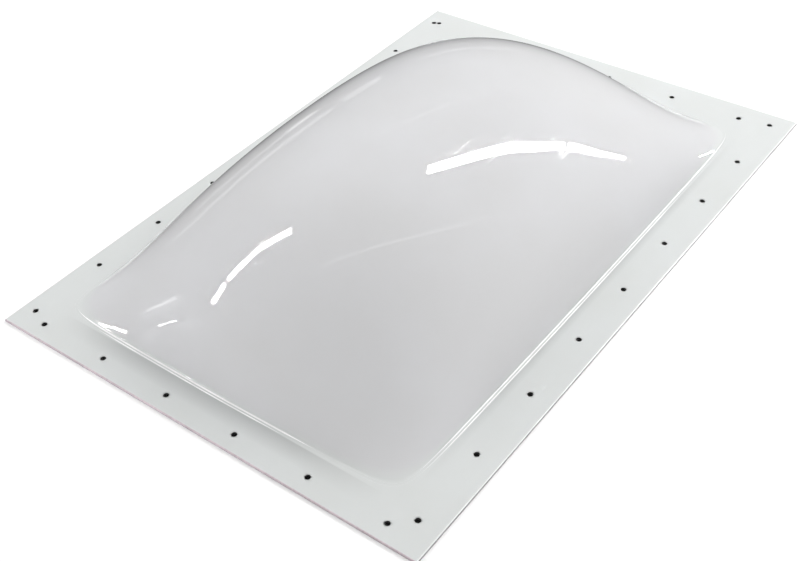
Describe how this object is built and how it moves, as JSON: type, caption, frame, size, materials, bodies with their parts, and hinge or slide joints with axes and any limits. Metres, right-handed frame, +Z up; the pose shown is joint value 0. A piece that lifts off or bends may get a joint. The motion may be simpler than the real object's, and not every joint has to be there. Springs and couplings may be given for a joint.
{
  "type": "roof skylight dome",
  "caption": "Blown white acrylic skylight dome with a flat rectangular screw flange, drilled all round its edge.",
  "frame": {"origin": "middle of the rectangular flange, on its underside, which rests on the roof", "axes": "+Z up out of the roof through the dome's crown, +Y along the long side of the flange, +X along the short side"},
  "size_m": [0.451, 0.655, 0.1184],
  "materials": {
    "white_acrylic": "high-gloss translucent white acrylic sheet, lightly scuffed"
  },
  "bodies": {
    "root": {"skylight_dome": "white_acrylic"}
  },
  "joints": []
}
